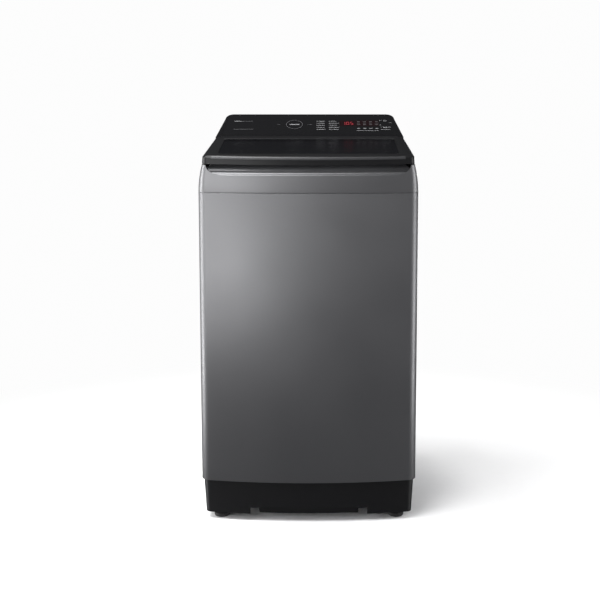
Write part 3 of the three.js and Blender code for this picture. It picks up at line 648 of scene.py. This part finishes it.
# nodes whose own solid is right, with their facets blended
eased = {"base_frame": basePlastic, "lid_frame": lidBlack, "console_housing": pianoBlack,
         "console_panel": pianoBlack, "outer_tub": None, "gearbox_housing": castMetal, "motor_housing": None,
         "driven_pulley": None, "motor_pulley": None, "basket_base": None, "pulsator": None,
         "drain_valve": None, "support_plate": None}
for node, material in eased.items():
    soften(node, material)
for node, obj in frame["nodes"].items():
    if not obj.hide_render:
        obj.data.materials.clear()
        obj.data.materials.append(slotFinish[slotOf[node]])
print("nodes dressed:", len(frame["nodes"]))

# one node tree repeats a small turned shape over points that carry a direction and a stretch
repeatInputs = {"Sides": ("NodeSocketInt", 12), "FootRadius": ("NodeSocketFloat", 0.004),
                "TopRadius": ("NodeSocketFloat", 0.003), "Height": ("NodeSocketFloat", 0.001)}


def repeatTree(name, material):
    tree = bpy.data.node_groups.new(name, "GeometryNodeTree")
    tree.interface.new_socket("Points", in_out="INPUT", socket_type="NodeSocketGeometry")
    for label, (kind, value) in repeatInputs.items():
        tree.interface.new_socket(label, in_out="INPUT", socket_type=kind).default_value = value
    tree.interface.new_socket("Repeated", in_out="OUTPUT", socket_type="NodeSocketGeometry")
    nodes, links = tree.nodes, tree.links
    given, result = nodes.new("NodeGroupInput"), nodes.new("NodeGroupOutput")
    shape = nodes.new("GeometryNodeMeshCone")
    links.new(given.outputs["Sides"], shape.inputs["Vertices"])
    links.new(given.outputs["FootRadius"], shape.inputs["Radius Bottom"])
    links.new(given.outputs["TopRadius"], shape.inputs["Radius Top"])
    links.new(given.outputs["Height"], shape.inputs["Depth"])
    fields = {}
    for label in ("facing", "stretch"):
        fields[label] = nodes.new("GeometryNodeInputNamedAttribute")
        fields[label].data_type = "FLOAT_VECTOR"
        fields[label].inputs["Name"].default_value = label
    turn = nodes.new("FunctionNodeAlignRotationToVector")
    turn.axis = "Z"
    links.new(fields["facing"].outputs["Attribute"], turn.inputs["Vector"])
    spread = nodes.new("GeometryNodeInstanceOnPoints")
    links.new(given.outputs["Points"], spread.inputs["Points"])
    links.new(shape.outputs["Mesh"], spread.inputs["Instance"])
    links.new(turn.outputs["Rotation"], spread.inputs["Rotation"])
    links.new(fields["stretch"].outputs["Attribute"], spread.inputs["Scale"])
    real = nodes.new("GeometryNodeRealizeInstances")
    paint = nodes.new("GeometryNodeSetMaterial")
    paint.inputs["Material"].default_value = material
    links.new(spread.outputs["Instances"], real.inputs["Geometry"])
    links.new(real.outputs["Geometry"], paint.inputs["Geometry"])
    links.new(paint.outputs["Geometry"], result.inputs["Repeated"])
    return tree


def repeatOver(name, rows, material, body, slot, sides, footRadius, topRadius, height, smoothAngle=30):
    carrier = bpy.data.meshes.new(name + "Points")
    carrier.from_pydata([row[0] for row in rows], [], [])
    for label, column in (("facing", 1), ("stretch", 2)):
        attribute = carrier.attributes.new(label, "FLOAT_VECTOR", "POINT")
        for i, row in enumerate(rows):
            attribute.data[i].vector = row[column]
    holder = bpy.data.objects.new(name + "Holder", carrier)
    bpy.context.scene.collection.objects.link(holder)
    repeating = holder.modifiers.new("repeating", "NODES")
    repeating.node_group = repeatTree(name + "Tree", material)
    chosen = {"Sides": sides, "FootRadius": footRadius, "TopRadius": topRadius, "Height": height}
    for item in repeating.node_group.interface.items_tree:
        if item.in_out == "INPUT" and item.name in chosen:
            repeating[item.identifier] = chosen[item.name]
    bpy.context.view_layer.update()
    mesh = bpy.data.meshes.new_from_object(holder.evaluated_get(bpy.context.evaluated_depsgraph_get()))
    holder.modifiers.clear()
    bpy.data.objects.remove(holder)
    for label in ("facing", "stretch"):
        if label in mesh.attributes:
            mesh.attributes.remove(mesh.attributes[label])
    mesh.name = name
    return dressMesh(name, mesh, material, body, smoothAngle, outward=False)


# drain holes in the basket wall, drawn as dark discs on its inner face: painted shade where the holes are
holeShape = {"around": 44, "rows": 22, "radius": 2.3 * mm, "depth": 0.5 * mm, "lowest": 0.335,
             "highest": 0.715, "sides": 10, "filterHalfAngle": 0.3, "filterFoot": 0.46}

def basketHoles():
    rows = []
    for level in range(holeShape["rows"]):
        share = level / (holeShape["rows"] - 1)
        z = holeShape["lowest"] + share * (holeShape["highest"] - holeShape["lowest"])
        for i in range(holeShape["around"]):
            angle = 2 * math.pi * (i + 0.5 * (level % 2)) / holeShape["around"]
            radius = (basketShape["radius"] - basketShape["wall"]) * mm
            ribShare = (z - basketShape["foot"] * mm) / ((basketShape["top"] - basketShape["foot"]) * mm)
            wave = ribWave(ribShare)
            radius -= wave * basketShape["ribDepth"] * mm
            outward = Vector((math.cos(angle), math.sin(angle), 0))
            facing = abs(angle - math.pi / 2) < holeShape["filterHalfAngle"]
            if wave < 0.05 and not (facing and z > holeShape["filterFoot"]):
                rows.append((Vector((0, axisY, z)) + outward * (radius + 0.00002), -outward, (1, 1, 1)))
    return rows


repeatOver("basket_holes", basketHoles(), holeShadePaint, "basket", "stainless_steel", holeShape["sides"],
           holeShape["radius"], holeShape["radius"] * 0.96, holeShape["depth"])

# screws round the rear panel and on the underside, and pressed louvres in the panel's field
rearShape = {"screwX": 0.254, "screwRows": (0.12, 0.3, 0.47, 0.64, 0.81), "screwRadius": 4.2 * mm,
             "screwHeight": 1.6 * mm, "louvreRows": 6, "louvreFrom": 0.62, "louvrePitch": 0.017,
             "louvreX": 0.09, "louvreLong": 15, "louvreSize": (4.2 * mm, 2.4 * mm, 3.2 * mm),
             "topScrewX": (-0.2, -0.07, 0.07, 0.2)}
rearLow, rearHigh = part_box("rear_panel")
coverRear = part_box("top_cover")[1].y


def rearScrews():
    back = Vector((0, 1, 0))
    sheetY = rearLow.y + 0.0012
    rows = [(Vector((side * rearShape["screwX"], sheetY, z)), back, (1, 1, 1))
            for side in (-1, 1) for z in rearShape["screwRows"]]
    rows += [(Vector((x, sheetY, rearHigh.z - 0.012)), back, (1, 1, 1)) for x in rearShape["topScrewX"]]
    rows += [(Vector((x, coverRear - 0.0004, 0.86)), back, (1, 1, 1)) for x in (-0.235, 0.235)]
    return rows


repeatOver("rear_screws", rearScrews(), castMetal, "cabinet", "zinc_sheet", 16, rearShape["screwRadius"],
           rearShape["screwRadius"] * 0.7, rearShape["screwHeight"])


def rearLouvres():
    rows = []
    for column in (-1, 1):
        for row in range(rearShape["louvreRows"]):
            place = Vector((column * rearShape["louvreX"], rearHigh.y - 0.0003,
                            rearShape["louvreFrom"] + row * rearShape["louvrePitch"]))
            rows.append((place, Vector((0, 1, 0)), (rearShape["louvreLong"], 1, 1)))
    return rows


repeatOver("rear_louvres", rearLouvres(), zincSheet, "cabinet", "zinc_sheet", 24, *rearShape["louvreSize"])


undersideShape = {"across": (-0.18, 0, 0.18), "along": (-0.225, 0.25),
                  "screwSize": (4 * mm, 2.8 * mm, 1.6 * mm)}


def undersideScrews():
    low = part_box("bottom_cover")[0]
    return [(Vector((x, y, low.z)), Vector((0, 0, -1)), (1, 1, 1))
            for y in undersideShape["along"] for x in undersideShape["across"]]


repeatOver("underside_screws", undersideScrews(), castMetal, "cabinet", "zinc_sheet", 16,
           *undersideShape["screwSize"])
print("repeated details made")

# studio: pale floor, soft boxes, and a white room that gives less light from behind the object
floorShape = {"radius": 2.6, "sides": 64, "drop": 0.0006, "fadeReach": 1.5,
              "fadeStops": [(0.2, 0.0), (0.34, 0.5), (1.0, 1.0)]}
roomShape = {"seen": 0.98, "front": 0.16, "behind": 0.02}
paleFloor = finish("paleFloor", (0.86, 0.86, 0.865), 0.6, grain=40, colourSpread=0.01, bumpDepth=0.02)
floorMesh = bpy.data.meshes.new("studioFloor")
floorRing = [(floorShape["radius"] * math.cos(2 * math.pi * i / floorShape["sides"]),
              floorShape["radius"] * math.sin(2 * math.pi * i / floorShape["sides"]), -floorShape["drop"])
             for i in range(floorShape["sides"])]
floorMesh.from_pydata(floorRing, [], [tuple(range(floorShape["sides"]))])
floorMesh.materials.append(paleFloor)
studioFloor = bpy.data.objects.new("studioFloor", floorMesh)
bpy.context.scene.collection.objects.link(studioFloor)
studioFloor.visible_glossy = False
studioFloor.visible_shadow = False

# the floor is plain under the object and turns into the same white as the room further out
floorNodes, floorLinks = paleFloor.node_tree.nodes, paleFloor.node_tree.links
whiteRoom = floorNodes.new("ShaderNodeEmission")
whiteRoom.inputs["Strength"].default_value = roomShape["seen"]
floorPlace = floorNodes.new("ShaderNodeTexCoord")
distance = floorNodes.new("ShaderNodeVectorMath")
distance.operation = "LENGTH"
fade = floorNodes.new("ShaderNodeMapRange")
fade.inputs["From Max"].default_value = floorShape["fadeReach"]
whiteRamp = floorNodes.new("ShaderNodeValToRGB")
whiteRamp.color_ramp.interpolation = "EASE"
whiteRamp.color_ramp.elements.new(0.5)
for stop, (position, white) in zip(whiteRamp.color_ramp.elements, floorShape["fadeStops"]):
    stop.position = position
    stop.color = (white, white, white, 1)
blended = floorNodes.new("ShaderNodeMixShader")
floorLinks.new(floorPlace.outputs["Object"], distance.inputs[0])
floorLinks.new(distance.outputs["Value"], fade.inputs["Value"])
floorLinks.new(fade.outputs["Result"], whiteRamp.inputs["Fac"])
floorLinks.new(whiteRamp.outputs["Color"], blended.inputs["Fac"])
floorLinks.new(floorNodes["Principled BSDF"].outputs["BSDF"], blended.inputs[1])
floorLinks.new(whiteRoom.outputs["Emission"], blended.inputs[2])
floorLinks.new(blended.outputs["Shader"], floorNodes["Material Output"].inputs["Surface"])

softBoxes = {
    "keyLeft": {"place": (-2.0, -3.2, 1.25), "aim": (-0.1, -0.2, 0.7), "size": (2.6, 2.4), "watts": 105},
    "sideLeft": {"place": (-2.4, -0.1, 0.5), "aim": (0, 0, 0.4), "size": (0.8, 3.0), "watts": 110},
    "sideRight": {"place": (2.4, -0.4, 0.5), "aim": (0, 0, 0.4), "size": (0.8, 3.0), "watts": 60},
    "overhead": {"place": (-1.2, -0.7, 3.3), "aim": (0, 0, 0.3), "size": (2.2, 2.2), "watts": 200},
    "backWash": {"place": (0.6, 3.0, 0.5), "aim": (0, 0, 0.4), "size": (2.4, 0.9), "watts": 60},
}
for name, box in softBoxes.items():
    lightData = bpy.data.lights.new(name, "AREA")
    lightData.shape = "RECTANGLE"
    lightData.size, lightData.size_y = box["size"]
    lightData.energy = box["watts"]
    light = bpy.data.objects.new(name, lightData)
    light.location = box["place"]
    light.rotation_euler = (Vector(box["aim"]) - Vector(box["place"])).to_track_quat("-Z", "Y").to_euler()
    bpy.context.scene.collection.objects.link(light)

room = bpy.data.worlds.new("studioRoom")
bpy.context.scene.world = room
room.use_nodes = True
roomNodes, roomLinks = room.node_tree.nodes, room.node_tree.links
backdrop = roomNodes["Background"]
backdrop.inputs["Color"].default_value = (1, 1, 1, 1)
backdrop.inputs["Strength"].default_value = roomShape["seen"]
ambient = roomNodes.new("ShaderNodeBackground")
ambient.inputs["Color"].default_value = (0.9, 0.92, 1, 1)
direction = roomNodes.new("ShaderNodeTexCoord")
axes = roomNodes.new("ShaderNodeSeparateXYZ")
dimming = roomNodes.new("ShaderNodeMapRange")
dimming.inputs["From Min"].default_value, dimming.inputs["From Max"].default_value = -0.8, 0.6
dimming.inputs["To Min"].default_value = roomShape["front"]
dimming.inputs["To Max"].default_value = roomShape["behind"]
roomLinks.new(direction.outputs["Generated"], axes.inputs["Vector"])
roomLinks.new(axes.outputs["Y"], dimming.inputs["Value"])
roomLinks.new(dimming.outputs["Result"], ambient.inputs["Strength"])
seen = roomNodes.new("ShaderNodeLightPath")
choice = roomNodes.new("ShaderNodeMixShader")
roomLinks.new(seen.outputs["Is Camera Ray"], choice.inputs["Fac"])
roomLinks.new(ambient.outputs["Background"], choice.inputs[1])
roomLinks.new(backdrop.outputs["Background"], choice.inputs[2])
roomLinks.new(choice.outputs["Shader"], roomNodes["World Output"].inputs["Surface"])
bpy.context.scene.view_settings.view_transform = "Standard"
print("studio lit")
